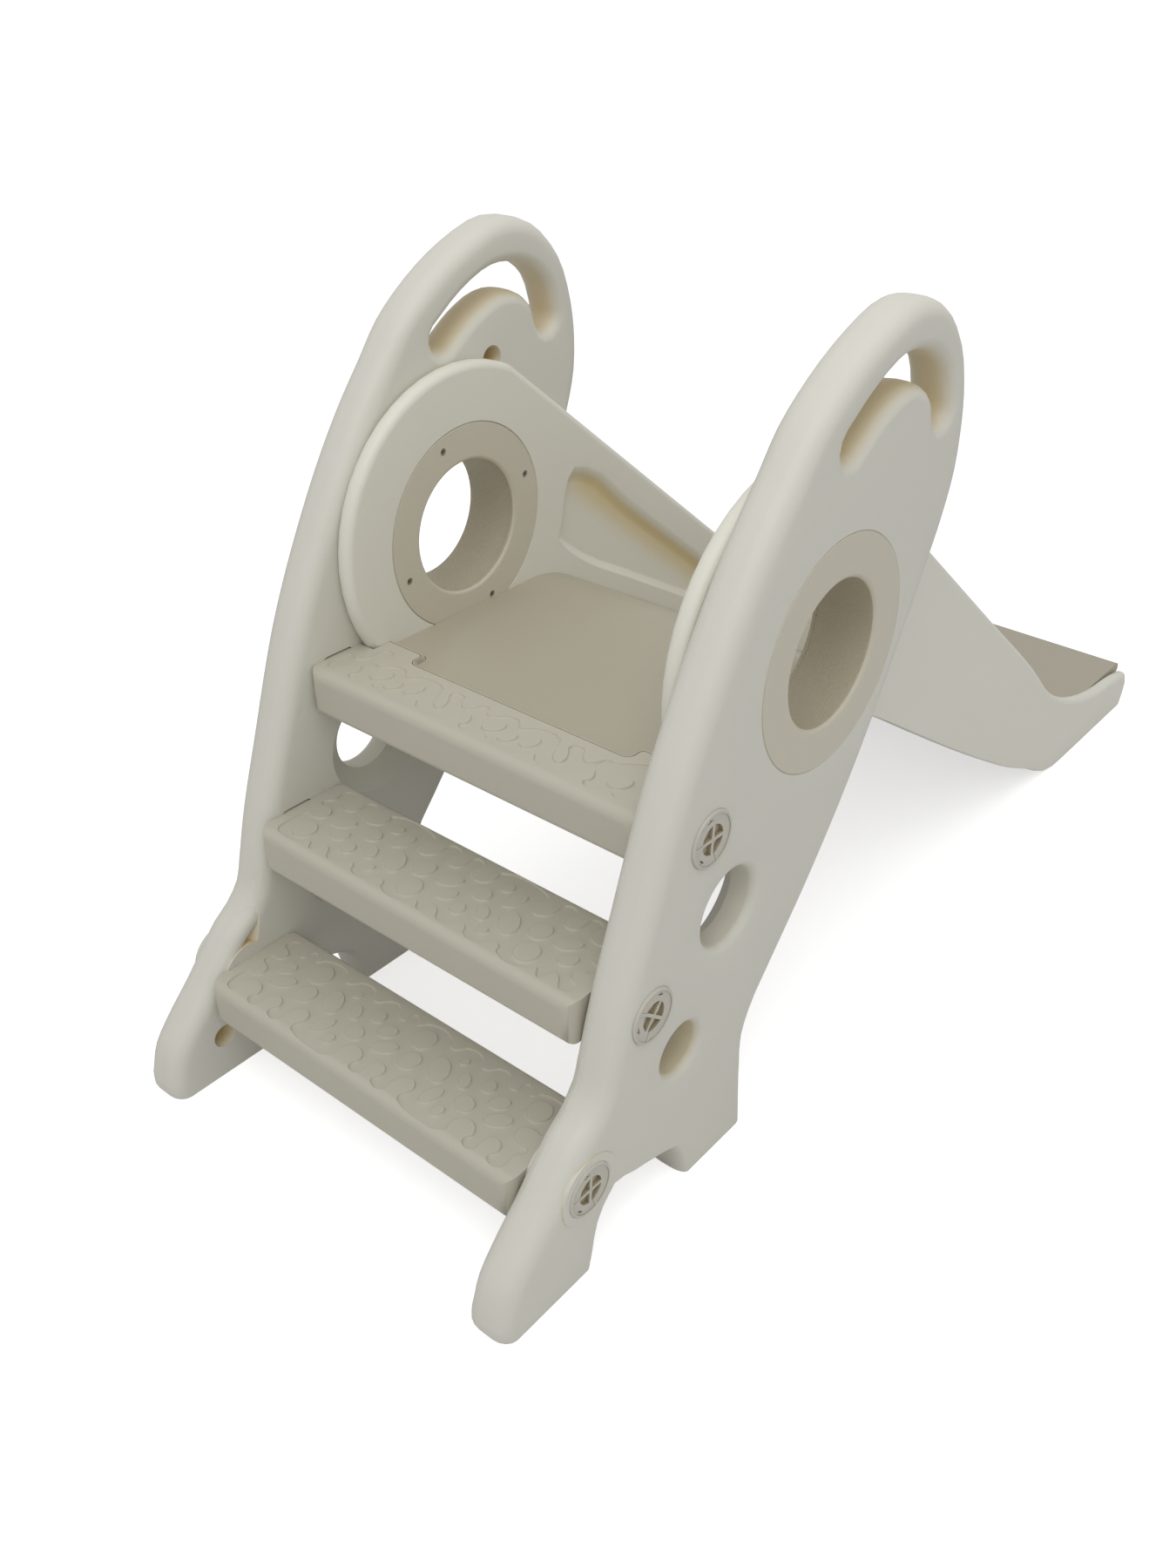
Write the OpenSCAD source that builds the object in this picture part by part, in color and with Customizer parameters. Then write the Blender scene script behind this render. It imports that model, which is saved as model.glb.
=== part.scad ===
// Kids slide: a ladder of two moulded side panels and three steps, and a chute that folds on two round hubs.
// The chute hangs between the panels and turns about the hubs' common axis.
// Frame: +X from the ladder down the slide, +Y to the left of a climbing child, +Z up, the floor at Z = 0.
// Outlines are written in millimetres from the hub axis, as [x, z].

/* [Overall] */
// Height of the hub axis above the floor
hub_h = 570; // [550:1:590]
// Clear width between the two side panels
inner_w = 463; // [420:1:500]
// Running gap between the chute and whatever it turns past
turn_gap = 0.6; // [0.4:0.1:1]
// Gap between pieces that are fixed side by side
seam = 0.3; // [0.2:0.1:0.5]

/* [Side panels] */
// Thickness of a side panel
panel_t = 52.5; // [50:0.5:60]
// Edge rounding of a panel, measured in its thickness
panel_edge = 20; // [16:1:22]
// Edge rounding along the body, measured in the panel's face
body_round = 20; // [14:1:21]
// Edge rounding along the handle
handle_round = 17; // [12:1:18]
// Half width of the hand slot
slot_half_w = 15; // [13:0.5:16]
// Edge rounding of the hand slot
slot_round = 14; // [10:1:15]
// Radius of the upper porthole
upper_hole_r = 45; // [42:1:50]
// Radius of the lower porthole
lower_hole_r = 31; // [28:1:36]
// Rounding of a porthole's outer rim
hole_rim = 10; // [8:1:14]
// Radius of the raised land round the hub on the outer face
land_r = 171; // [160:1:176]
// Height of the land
land_h = 1; // [0.6:0.1:1.4]
// How far the toe's inner face is set back above the bottom step
toe_back = 14; // [10:1:16]

/* [Steps] */
// Height of the top tread above the deck behind it
tread_lift = 6; // [4:0.5:8]
// Rise from one tread to the next
rise = 164.5; // [158:0.5:166]
// Run from one step's front to the next
run = 95; // [90:1:97]
// Distance from the bottom step's front to the hub axis
nose_x = 431; // [427:1:434]
// Depth of a tread
step_d = 129; // [120:1:132]
// Thickness of a step
step_t = 54; // [50:1:58]
// Corner radius of a step in plan
step_corner = 15; // [10:1:20]
// Radius along the front top edge of a step
nose_r = 12; // [8:1:16]
// Width of the tenon on each end of a step
tenon_w = 46; // [42:1:48]
// Height of the tenon
tenon_h = 40; // [38:1:42]
// Length of the tenon
tenon_l = 28; // [24:1:32]
// Gap that shows over a tenon in its pocket
tenon_slit = 2; // [1:0.5:3]

/* [Locks] */
// Depth of a lock's axis under its tread
lock_drop = 20; // [20:0.5:21]
// Radius of a lock's head
lock_r = 31; // [28:1:32]
// Radius of a lock's shank
lock_shank_r = 13; // [11:1:14]
// Radius that the two ears of a lock reach
lock_ear_r = 18; // [17:0.5:18.5]
// Width of an ear
lock_ear_w = 9; // [7:1:11]
// Height of the head above the panel
lock_proud = 3; // [2:0.5:4]
// Running clearance round a lock
lock_gap = 0.3; // [0.2:0.1:0.5]

/* [Hubs] */
// Radius of the round window through a hub
bore_r = 78; // [74:1:82]
// Radius of the barrel that the chute turns on
axle_r = 114; // [111:1:116]
// Radial clearance between the barrel and the chute
axle_fit = 0.1; // [0.05:0.05:0.1]
// Radius of the outer flange
outer_flange_r = 125; // [121:1:126]
// Radius of the inner flange
inner_flange_r = 121; // [119:1:124]
// Thickness of both flanges
flange_t = 7; // [5:1:9]
// Radius of the circle of screws in the inner flange
screw_ring_r = 105; // [103:1:105]
// Number of screws in the inner flange
screw_count = 4; // [3:1:6]
// Angle of the first screw
screw_angle = 20; // [0:1:40]
// Radius of a screw's head
screw_head_r = 4; // [3.5:0.5:4.5]
// Radius of a screw's thread
screw_r = 2; // [1.5:0.5:2.5]
// Length of a screw under its head
screw_l = 20; // [16:1:24]

/* [Chute] */
// Thickness of a rail and of its round ear
rail_t = 21; // [18:0.5:23]
// Radius of the round ear
ear_r = 188; // [182:1:190]
// Edge rounding of a rail
rail_round = 9; // [6:1:10]
// Depth of the long recess in a rail's inner face
cove_d = 10; // [8:1:12]
// Distance from a rail's top edge down to the recess
cove_drop = 39; // [34:1:46]
// Height of the recess's lower edge above the bed
cove_lift = 25; // [20:1:30]
// Drop from the hub axis to the deck
deck_drop = 103; // [100:1:106]
// Distance from the hub axis back to the deck's front edge
deck_front = 152; // [148:1:156]
// How far the deck's front edge steps back at its two sides
notch_d = 23; // [18:1:26]
// Half width of the deck's front tongue
tongue_half_w = 154; // [140:1:170]
// Corner radius of the tongue
tongue_corner = 7; // [5:1:9]
// Thickness of the deck and the slide bed
bed_t = 22; // [18:1:24]
// Distance from the hub axis to where the deck starts to fall
crest_x = 105; // [90:1:115]
// Radius of the crest between deck and slope
crest_r = 150; // [120:5:160]
// Slope of the slide bed, in degrees
slide_angle = 30; // [28:0.5:31]
// Radius of the run-out at the foot of the slope
runout_r = 350; // [300:10:380]
// Height of the bed's exit lip above the floor
exit_h = 70; // [66:1:80]
// Distance from the hub axis to the end of the chute
chute_reach = 1167; // [1150:1:1200]

/* [Hidden] */
$fn = 96;

cream = [0.87, 0.86, 0.80];
greige = [0.67, 0.65, 0.59];
zinc = [0.75, 0.75, 0.76];

// A small overlap, so that two joined shapes share a volume and a cutter runs past a face
bite = 1;
// Straight length that a curve is drawn with
facet = 22;
// Angle between the rings of a rounded edge
ring_step = 22.5;

panel_y = inner_w / 2;
rail_y = panel_y - turn_gap - rail_t;
floor_z = -hub_h;

// Point on a smooth span from a to b with end directions ma and mb, at fraction t
function span_pt(a, b, ma, mb, t) =
    let (h = norm(b - a))
    a * (2 * t ^ 3 - 3 * t ^ 2 + 1) + ma * h * (t ^ 3 - 2 * t ^ 2 + t)
    + b * (3 * t ^ 2 - 2 * t ^ 3) + mb * h * (t ^ 3 - t ^ 2);
function xz(p) = [p[0], p[1]];
function is_corner(p) = len(p) > 3;
function at(p, i) = p[(i + len(p)) % len(p)];
// Direction of a closed curve at point i: the span before weighs more when it is the shorter
function heading(p, i) =
    let (a = xz(at(p, i - 1)), b = xz(at(p, i)), c = xz(at(p, i + 1)), h = norm(b - a), k = norm(c - b))
    ((b - a) / h * k + (c - b) / k * h) / (h + k);
function toward(p, i, j) = let (d = xz(at(p, j)) - xz(at(p, i))) d / norm(d);
function leave(p, i) = is_corner(at(p, i)) ? toward(p, i, i + 1) : heading(p, i);
function arrive(p, i) = is_corner(at(p, i)) ? toward(p, i - 1, i) : heading(p, i);
// Rounding along the span from point i: it changes evenly, but holds its value next to a corner
function span_round(p, i, t) =
    let (a = at(p, i)[2], b = at(p, i + 1)[2])
    is_corner(at(p, i + 1)) ? a : is_corner(at(p, i)) ? b : a + (b - a) * t;
// Points [x, z, rounding] along a closed curve from control point i to control point j, without its last
function run_pts(p, i, j, length = facet) = [
    for (s = [i:j - 1])
        let (a = xz(at(p, s)), b = xz(at(p, s + 1)), n = max(1, ceil(norm(b - a) / length)))
            for (k = [0:n - 1])
                let (q = span_pt(a, b, leave(p, s), arrive(p, s + 1), k / n))
                    [q[0], q[1], span_round(p, s, k / n)]
];
// How far a point on an outline moves out per unit of its rounding, from the edges on its two sides
function out_normal(a, b) = [-(b - a)[1], (b - a)[0]] / norm(b - a);
function inset(o, i) =
    let (
        n = out_normal(xz(at(o, i - 1)), xz(at(o, i))), m = out_normal(xz(at(o, i)), xz(at(o, i + 1))),
        turn = n[0] * m[1] - n[1] * m[0],
        r = at(o, i)[2],
        before = abs(turn) < 0.5 ? r : at(o, i - 1)[2],
        after = abs(turn) < 0.5 ? r : at(o, i + 1)[2]
    )
    abs(turn) < 0.5
        ? (n + m) / (1 + n * m) * r
        : [(before * m[1] - after * n[1]) / turn, (n[0] * after - m[0] * before) / turn];
// Rings [y, share of the rounding] from one face of a plate to the other
function rings(t, edge) = concat(
    [for (a = [0:ring_step:90]) [edge * (1 - cos(a)), 1 - sin(a)]],
    [for (a = [90:-ring_step:0]) [t - edge * (1 - cos(a)), 1 - sin(a)]]
);
function shell_pts(o, levels) = [
    for (g = levels) for (i = [0:len(o) - 1]) let (q = xz(o[i]) - inset(o, i) * g[1]) [q[0], g[0], q[1]]
];
function shell_faces(n, k, first) = [
    for (g = [0:k - 2]) for (i = [0:n - 1])
        let (a = first + g * n + i, b = first + g * n + (i + 1) % n) [a, a + n, b + n, b]
];
function reversed(v) = [for (i = [len(v) - 1:-1:0]) v[i]];
// A flat face with the corners f, all points of p, is cut into triangles by taking off one ear after another.
function turn_of(a, b, c) = (b[0] - a[0]) * (c[2] - a[2]) - (b[2] - a[2]) * (c[0] - a[0]);
function holds(a, b, c, q) = turn_of(a, b, q) <= 0 && turn_of(b, c, q) <= 0 && turn_of(c, a, q) <= 0;
function ear_at(f, i) = [f[(i + len(f) - 1) % len(f)], f[i], f[(i + 1) % len(f)]];
function is_ear(p, f, e) =
    let (a = p[e[0]], b = p[e[1]], c = p[e[2]])
    turn_of(a, b, c) < -0.01
    && len([for (q = f) if (q != e[0] && q != e[1] && q != e[2] && holds(a, b, c, p[q])) q]) == 0;
function clipped(p, f, i = 0, done = []) =
    let (j = i % len(f), e = ear_at(f, j))
    len(f) == 3 ? concat(done, [f])
    : is_ear(p, f, e) ? clipped(p, [for (k = [0:len(f) - 1]) if (k != j) f[k]], j + 1, concat(done, [e]))
    : clipped(p, f, j + 1, done);
// Solid through the outline's rings. The outline runs clockwise as seen along +Y, towards the far face.
module lofted_plate(o, levels) {
    k = len(levels);
    n = len(o);
    p = shell_pts(o, levels);
    near = clipped(p, [for (i = [0:n - 1]) i]);
    far = [for (f = near) reversed([for (i = f) i + (k - 1) * n])];
    polyhedron(p, concat(near, far, shell_faces(n, k, 0)));
}
// Rounded plate with one long slot: the outline's points 0 and cut face the slot's points 0 and tip.
module slotted_plate(o, cut, s, tip, t, edge) {
    levels = rings(t, edge);
    k = len(levels);
    n = len(o);
    m = len(s);
    p = concat(shell_pts(o, levels), shell_pts(s, levels));
    over = concat([for (i = [0:cut]) i], [for (i = [tip:m - 1]) k * n + i], [k * n]);
    under = concat([for (i = [cut:n - 1]) i], [0], [for (i = [0:tip]) k * n + i]);
    near = concat(clipped(p, over), clipped(p, under));
    far = [for (f = near) reversed([for (i = f) i < n ? i + (k - 1) * n : i + (k - 1) * m])];
    polyhedron(p, concat(near, far, shell_faces(n, k, 0), shell_faces(m, k, k * n)));
}
// Cutter for a recess of depth d in the face at y = 0: its walls are soft, as wide as the outline's roundings
soft_steps = 5;
function soft_levels(d) = concat(
    [[-bite, 0]],
    [for (k = [0:soft_steps]) [d * (1 - cos(180 * k / soft_steps)) / 2, k / soft_steps]]
);
module soft_recess(o, d) {
    lofted_plate(o, soft_levels(d));
}
// Bar with its corners rounded, seen along +Y and standing out of y = 0
module rounded_bar(w, h, r, l) {
    rotate([-90, 0, 0]) linear_extrude(l) union() {
        square([w - 2 * r, h], center = true);
        square([w, h - 2 * r], center = true);
        for (x = [-1, 1]) for (z = [-1, 1]) translate([x * (w / 2 - r), z * (h / 2 - r)]) circle(r);
    }
}
// Round bar along +Y from y = 0
module peg(r, l) {
    rotate([-90, 0, 0]) cylinder(r = r, h = l);
}
// Puts a piece drawn from the hub axis in its place, and mirrors it for the right side
module place(side = 1) {
    translate([hub_x, 0, hub_h]) if (side > 0) children(); else mirror([0, 1, 0]) children();
}

// Control points of a side panel, clockwise from the handle's front: [x, z, rounding], and a 1 at a corner
hr = handle_round;
br = body_round;
foot_round = 10;
// The feet start at this height, and their points are shares of the way from there down to the floor
leg_z = -470;
function foot(share) = leg_z + share * (floor_z - leg_z);
panel_ctrl = [
    [-64, 239, hr], [-18, 275, hr], [39, 305, hr], [98, 321, hr], [153, 308, hr], [196, 269, hr],
    [220, 212, hr], [228, 165, br], [227, 128, br], [214, 80, br], [193, 32, br], [155, -46, br],
    [116, -124, br], [64, -212, br], [5, -294, br], [-48, -358, br], [-86, -404, 16],
    [-97, -430, 14], [-96, leg_z, 14], [-87, floor_z, 0, 1], [-203, floor_z, 0, 1],
    [-209, foot(0.78), 8], [-222, foot(0.48), foot_round], [-251, foot(0.35), foot_round],
    [-297, foot(0.21), foot_round], [-326, foot(0.12), 8], [-340, foot(0.26), 8],
    [-361, floor_z, 0, 1], [-494, floor_z, 0, 1], [-499, foot(0.9), 14], [-496, foot(0.62), 18],
    [-488, foot(0.36), br], [-470, foot(0.12), br], [-431, -441, br], [-402, -407, br],
    [-384, -387, br], [-362, -370, br], [-346, -350, br], [-338, -322, br], [-326, -276, br],
    [-294, -180, br], [-241, -36, br], [-200, 46, br], [-157, 119, br], [-124, 166, br],
    [-94, 203, br]
];
handle_end = 7;
// Centre line of the hand slot
slot_line = [[-4, 212], [38, 240], [84, 257], [126, 253], [156, 232], [168, 202]];
slot_end_step = 30;
function line_dir(p, i) = let (a = p[max(i - 1, 0)], b = p[min(i + 1, len(p) - 1)]) (b - a) / norm(b - a);
slot_mid = [
    for (i = [0:len(slot_line) - 2])
        let (from = line_dir(slot_line, i), to = line_dir(slot_line, i + 1))
            for (k = [0:2]) span_pt(slot_line[i], slot_line[i + 1], from, to, k / 3)
];
slot_axis = concat(slot_mid, [slot_line[len(slot_line) - 1]]);
function beside(p, i, s) = let (d = line_dir(p, i)) p[i] + [-d[1], d[0]] * s;
function round_end(p, i, from) =
    let (d = line_dir(p, i), a0 = atan2(d[1], d[0]) + from)
    [
        for (a = [slot_end_step:slot_end_step:180 - slot_end_step])
            p[i] + slot_half_w * [cos(a0 + a), sin(a0 + a)]
    ];
last = len(slot_axis) - 1;
// Anticlockwise round the slot: half an end, the lower side, the other end, the upper side, the first half end
slot_start = round_end(slot_axis, 0, 90);
slot_stop = round_end(slot_axis, last, -90);
half_end = floor(len(slot_start) / 2);
slot_ring = concat(
    [for (i = [half_end:len(slot_start) - 1]) slot_start[i]],
    [for (i = [0:last]) beside(slot_axis, i, -slot_half_w)],
    slot_stop,
    [for (i = [last:-1:0]) beside(slot_axis, i, slot_half_w)],
    [for (i = [0:half_end - 1]) slot_start[i]]
);
slot_pts = [for (p = slot_ring) [p[0], p[1], slot_round]];
slot_tip = len(slot_start) - half_end + last + 1 + half_end;

handle_pts = run_pts(panel_ctrl, 0, handle_end);
panel_pts = concat(handle_pts, run_pts(panel_ctrl, handle_end, len(panel_ctrl)));

// Portholes: [x, z, radius]
upper_hole = [-149, -228, upper_hole_r];
lower_hole = [-221, -369, lower_hole_r];
// Depth and flare of a porthole's dish on the inner face, and of the shallow ring round it on the outer face
dish_depth = 20;
dish_flare = 24;
ring_depth = 1.5;
ring_flare = 27;

// Round hole along +Y with its outer rim rounded in a shallow ring, and a wide dish on the inner side
module porthole(r) {
    lip = panel_t - ring_depth;
    rotate([-90, 0, 0]) rotate_extrude() union() {
        polygon([[0, -bite], [r + dish_flare, -bite], [r + dish_flare, 0], [r, dish_depth], [0, dish_depth]]);
        polygon([
            [0, lip], [r + hole_rim, lip], [r + ring_flare, panel_t],
            [r + ring_flare, panel_t + bite], [0, panel_t + bite]
        ]);
        difference() {
            union() {
                square([r, lip + bite / 2]);
                translate([0, lip - hole_rim]) square([r + hole_rim, hole_rim]);
            }
            translate([r + hole_rim, lip - hole_rim]) circle(hole_rim);
        }
    }
}

// Steps, from the bottom one up: where each lock's axis lies behind the step's front
lock_back = [61, 59, 46];
function step_x(i) = -nose_x + i * run;
function step_z(i) = tread_lift - deck_drop - (2 - i) * rise;
function lock_x(i) = step_x(i) + lock_back[i];
function lock_z(i) = step_z(i) - lock_drop;

// The pocket is deeper than the tenon is long by one seam, and taller by the slit
pocket_d = tenon_l + seam;
lock_seat = 6;
boss_r = 41;
boss_proud = 1;

// The land round the hub is cut straight where it would run past the panel's rear edge
rear_edge = [xz(panel_ctrl[10]), xz(panel_ctrl[13])];
rear_out = out_normal(rear_edge[0], rear_edge[1]);
land_flat = rear_edge[0] * rear_out - body_round - 2;
land_taper = 4;
module land() {
    size = 2 * land_r;
    translate([0, panel_t - bite, 0]) intersection() {
        rotate([-90, 0, 0]) rotate_extrude()
            polygon([
                [0, 0], [land_r, 0], [land_r, bite],
                [land_r - land_taper, bite + land_h], [0, bite + land_h]
            ]);
        rotate([0, atan2(-rear_out[1], rear_out[0]), 0]) translate([land_flat - size, -bite, -size / 2])
            cube([size, 2 * bite + 2 * land_h, size]);
    }
}
// Above the bottom step's round seat the toe is thinner: a recess in its inner face, open to the front. A wall
// as wide as toe_wall slopes down into it from the ridge behind it, round the seat and along its lower end
toe_wall = 12;
seat_r = 44;
ridge = [[-362, -416], [-345, -328]];
toe_low = [[-450, -444], [-400, -437]];
toe_front = [[-376, -352], [-402, -376], [-425, -404]];
function wall_at(y) = toe_wall * y / toe_back;
module toe_slope(line) {
    d = line[1] - line[0];
    l = norm(d);
    translate([line[0][0], 0, line[0][1]]) rotate([0, -atan2(d[1], d[0]), 0]) translate([-l, 0, 0])
        rotate([0, 90, 0]) linear_extrude(3 * l)
            polygon([
                [2, -bite], [-wall_at(-bite), -bite], [-wall_at(toe_back + bite), toe_back + bite],
                [2, toe_back + bite]
            ]);
}
module toe_recess() {
    difference() {
        translate([0, toe_back, 0]) rotate([90, 0, 0]) linear_extrude(toe_back + bite)
            polygon(concat([toe_low[1], ridge[0], ridge[1]], toe_front, [toe_low[0]]));
        union() {
            translate([lock_x(0), 0, lock_z(0)]) rotate([-90, 0, 0]) rotate_extrude()
                polygon([
                    [0, -bite], [seat_r + wall_at(-bite), -bite],
                    [seat_r + wall_at(toe_back + bite), toe_back + bite], [0, toe_back + bite]
                ]);
            toe_slope(ridge);
            toe_slope(toe_low);
        }
    }
}
// Where the two walls of the moulding are pinched together: [x, z]
pinches = [[-421, -514], [70, 175]];
pinch_r = 15;
pinch_tip_r = 6;
pinch_d = 24;

module panel(side) {
    color(cream) place(side) translate([0, panel_y, 0]) difference() {
        union() {
            slotted_plate(panel_pts, len(handle_pts), slot_pts, slot_tip, panel_t, panel_edge);
            land();
            // A round boss carries the bottom lock where the panel's rounded edge leaves no flat
            translate([lock_x(0), panel_t / 2, lock_z(0)]) peg(boss_r, panel_t / 2 + boss_proud);
        }
        translate([0, -bite, 0]) peg(axle_r + seam, panel_t + 2 * bite);
        translate([0, panel_t + land_h - flange_t, 0]) peg(outer_flange_r + seam, flange_t + bite);
        toe_recess();
        for (q = pinches) translate([q[0], 0, q[1]]) rotate([-90, 0, 0]) rotate_extrude()
            polygon([[0, -bite], [pinch_r, -bite], [pinch_r, 0], [pinch_tip_r, pinch_d], [0, pinch_d]]);
        for (h = [upper_hole, lower_hole]) translate([h[0], 0, h[1]]) porthole(h[2]);
        for (i = [0:2]) translate([lock_x(i), 0, lock_z(i)]) {
            translate([0, -bite, tenon_slit / 2])
                rounded_bar(tenon_w + 2 * seam, tenon_h + tenon_slit, 8, pocket_d + bite);
            peg(lock_shank_r + lock_gap, panel_t);
            translate([0, panel_t - lock_seat, 0]) peg(lock_r + lock_gap, lock_seat + bite + boss_proud);
        }
    }
}

// Profile of a step, drawn from its top front edge
back_r = 6;
belly_r = 9;
module step_profile() {
    union() {
        translate([nose_r, -nose_r]) circle(nose_r);
        translate([belly_r, -step_t + belly_r]) circle(belly_r);
        translate([step_d - back_r, -back_r]) circle(back_r);
        translate([step_d - back_r, -step_t + back_r]) circle(back_r);
        polygon([
            [0, -nose_r], [0, -step_t + belly_r], [belly_r, -step_t + belly_r], [belly_r, -step_t],
            [step_d - back_r, -step_t], [step_d - back_r, -step_t + back_r], [step_d, -step_t + back_r],
            [step_d, -back_r], [step_d - back_r, -back_r], [step_d - back_r, 0], [nose_r, 0], [nose_r, -nose_r]
        ]);
    }
}
step_w = inner_w - 2 * seam;
ear_slot = 1;
tenon_wall = 6;
cavity_d = 12;
// One end's tenon, hollow behind an end wall with a keyhole for the lock's ears
module tenon() {
    difference() {
        translate([0, -bite, 0]) rounded_bar(tenon_w, tenon_h, 8, tenon_l + bite);
        translate([0, tenon_l - tenon_wall - cavity_d, 0]) peg(lock_ear_r + ear_slot, cavity_d);
        translate([0, tenon_l - tenon_wall - bite, 0]) peg(lock_shank_r + lock_gap, tenon_wall + 2 * bite);
        translate([0, tenon_l - tenon_wall / 2, 0])
            cube([lock_ear_w + ear_slot, tenon_wall + 2 * bite, 2 * (lock_ear_r + ear_slot)], center = true);
    }
}
module plain_step(i) {
    translate([step_x(i), 0, step_z(i)]) intersection() {
        translate([0, step_w / 2, 0]) rotate([90, 0, 0]) linear_extrude(step_w) step_profile();
        translate([0, 0, -step_t - bite]) linear_extrude(step_t + 2 * bite) union() {
            translate([0, -step_w / 2 + step_corner]) square([step_d, step_w - 2 * step_corner]);
            translate([step_corner, -step_w / 2]) square([step_d - 2 * step_corner, step_w]);
            for (x = [step_corner, step_d - step_corner]) for (s = [-1, 1])
                translate([x, s * (step_w / 2 - step_corner)]) circle(step_corner);
        }
    }
}
module step_tenons(i) {
    for (s = [0, 1]) mirror([0, s, 0]) translate([lock_x(i), step_w / 2, lock_z(i)]) tenon();
}
module step(i) {
    color(greige) place() union() {
        plain_step(i);
        step_tenons(i);
    }
}

// The deck's front faces are round about the hub axis, so they slide past the top step as the chute folds.
function deck_arc(front) = sqrt(front ^ 2 + deck_drop ^ 2);
deck_front_r = deck_arc(deck_front);
notch_r = deck_arc(deck_front - notch_d);
deck_under = deck_drop + bed_t;
top_step_d = 123;

// The round front of the deck, grown by a gap: a tongue with rounded corners between two notches
module deck_nose(gap, w) {
    corner_r = deck_front_r - tongue_corner;
    corner_y = tongue_half_w - tongue_corner;
    rotate([-90, 0, 0]) rotate_extrude() union() {
        translate([0, -w / 2]) square([notch_r + gap, w]);
        translate([0, -tongue_half_w - gap]) square([corner_r, 2 * (tongue_half_w + gap)]);
        translate([0, -corner_y]) square([deck_front_r + gap, 2 * corner_y]);
        for (s = [0, 1]) mirror([0, s]) {
            translate([corner_r, corner_y]) circle(tongue_corner + gap);
            difference() {
                translate([notch_r, tongue_half_w]) square(tongue_corner);
                translate([notch_r + tongue_corner, tongue_half_w + tongue_corner]) circle(tongue_corner - gap);
            }
        }
    }
}
// Room for the chute in the top step: over the deck's ledge, in its two fingers and at the round ears
module deck_room() {
    w = 2 * (rail_y + rail_t + turn_gap + bite);
    up = deck_under + bite;
    intersection() {
        deck_nose(turn_gap, w);
        translate([-deck_front_r - bite, -w / 2, -deck_under]) cube([deck_front_r + bite, w, up]);
    }
    for (s = [0, 1]) mirror([0, s, 0]) translate([0, rail_y - turn_gap, 0])
        peg(ear_r + turn_gap, rail_t + 2 * turn_gap + bite);
}
module top_step() {
    color(greige) place() difference() {
        union() {
            plain_step(2);
            step_tenons(2);
        }
        translate([step_x(2) + top_step_d, -step_w, step_z(2) - step_t - bite])
            cube([step_d, 2 * step_w, step_t + 2 * bite]);
        deck_room();
    }
}

// Lock: a round head, a shank through the panel and two ears that turn behind the tenon's end wall
head_t = lock_seat + lock_proud - seam;
ear_t = 8;
grip_w = 7;
grip_d = 2.5;
lock_root = pocket_d - tenon_l + tenon_wall + lock_gap;
module lock(side, i) {
    shank_l = panel_t - lock_seat + seam - pocket_d;
    color(greige) place(side) translate([lock_x(i), panel_y + pocket_d, lock_z(i)]) union() {
        translate([0, -lock_root, 0]) peg(lock_shank_r, shank_l + lock_root + bite);
        translate([0, -lock_root - ear_t / 2, 0]) cube([2 * lock_ear_r - 2, ear_t, lock_ear_w], center = true);
        difference() {
            translate([0, shank_l, 0]) rotate([-90, 0, 0]) rotate_extrude() union() {
                square([lock_r - 2, head_t]);
                square([lock_r, head_t - 2]);
                translate([lock_r - 2, head_t - 2]) circle(2);
            }
            // Finger grip: two crossed recesses
            for (a = [45, -45]) translate([0, shank_l + head_t - grip_d, 0]) rotate([0, a, 0])
                rounded_bar(1.5 * lock_r, grip_w, grip_w / 2 - 0.01, grip_d + bite);
        }
    }
}

// Hub halves: the outer one has the barrel, and the inner one screws to it through the chute's ear
barrel_wall = 5;
window_wall = 4;
boss_wall = 4;
rim_r = 6;
inner_face = rail_y;
hub_seam = panel_y + 8;
outer_face = panel_y + panel_t + land_h;
screw_head_h = 3;
module ring_bar(r_in, r_out, l) {
    difference() {
        peg(r_out, l);
        translate([0, -bite, 0]) peg(r_in, l + 2 * bite);
    }
}
module at_screws() {
    for (k = [0:screw_count - 1]) rotate([0, -screw_angle - k * 360 / screw_count, 0])
        translate([screw_ring_r, 0, 0]) children();
}
module hub_outer(side) {
    l = outer_face - inner_face - flange_t;
    color(greige) place(side) translate([0, inner_face + flange_t, 0]) difference() {
        union() {
            translate([0, l - flange_t + seam, 0]) peg(outer_flange_r, flange_t);
            translate([0, seam, 0]) peg(axle_r - axle_fit, l);
        }
        // The barrel is hollow from its inner end, with a boss for each screw
        difference() {
            translate([0, -bite, 0]) ring_bar(bore_r + window_wall, axle_r - barrel_wall, l - flange_t);
            at_screws() translate([0, -bite, 0]) peg(screw_r + boss_wall, l);
        }
        at_screws() peg(screw_r, screw_l + seam);
        translate([0, -bite, 0]) peg(bore_r, l + 2 * bite);
        // Rounded mouth of the window
        translate([0, l + seam, 0]) rotate([-90, 0, 0]) rotate_extrude() difference() {
            translate([0, -rim_r]) square([bore_r + rim_r, rim_r + bite]);
            translate([bore_r + rim_r, -rim_r]) circle(rim_r);
        }
    }
}
module hub_inner(side) {
    color(greige) place(side) translate([0, inner_face, 0]) difference() {
        peg(inner_flange_r, flange_t);
        at_screws() translate([0, -bite, 0]) {
            peg(screw_head_r + seam, screw_head_h + bite);
            peg(screw_r + seam, flange_t + 2 * bite);
        }
        translate([0, -bite, 0]) peg(bore_r, flange_t + 2 * bite);
        rotate([-90, 0, 0]) rotate_extrude() difference() {
            translate([0, -bite]) square([bore_r + rim_r - 1, rim_r - 1 + bite]);
            translate([bore_r + rim_r - 1, rim_r - 1]) circle(rim_r - 1);
        }
    }
}
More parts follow.
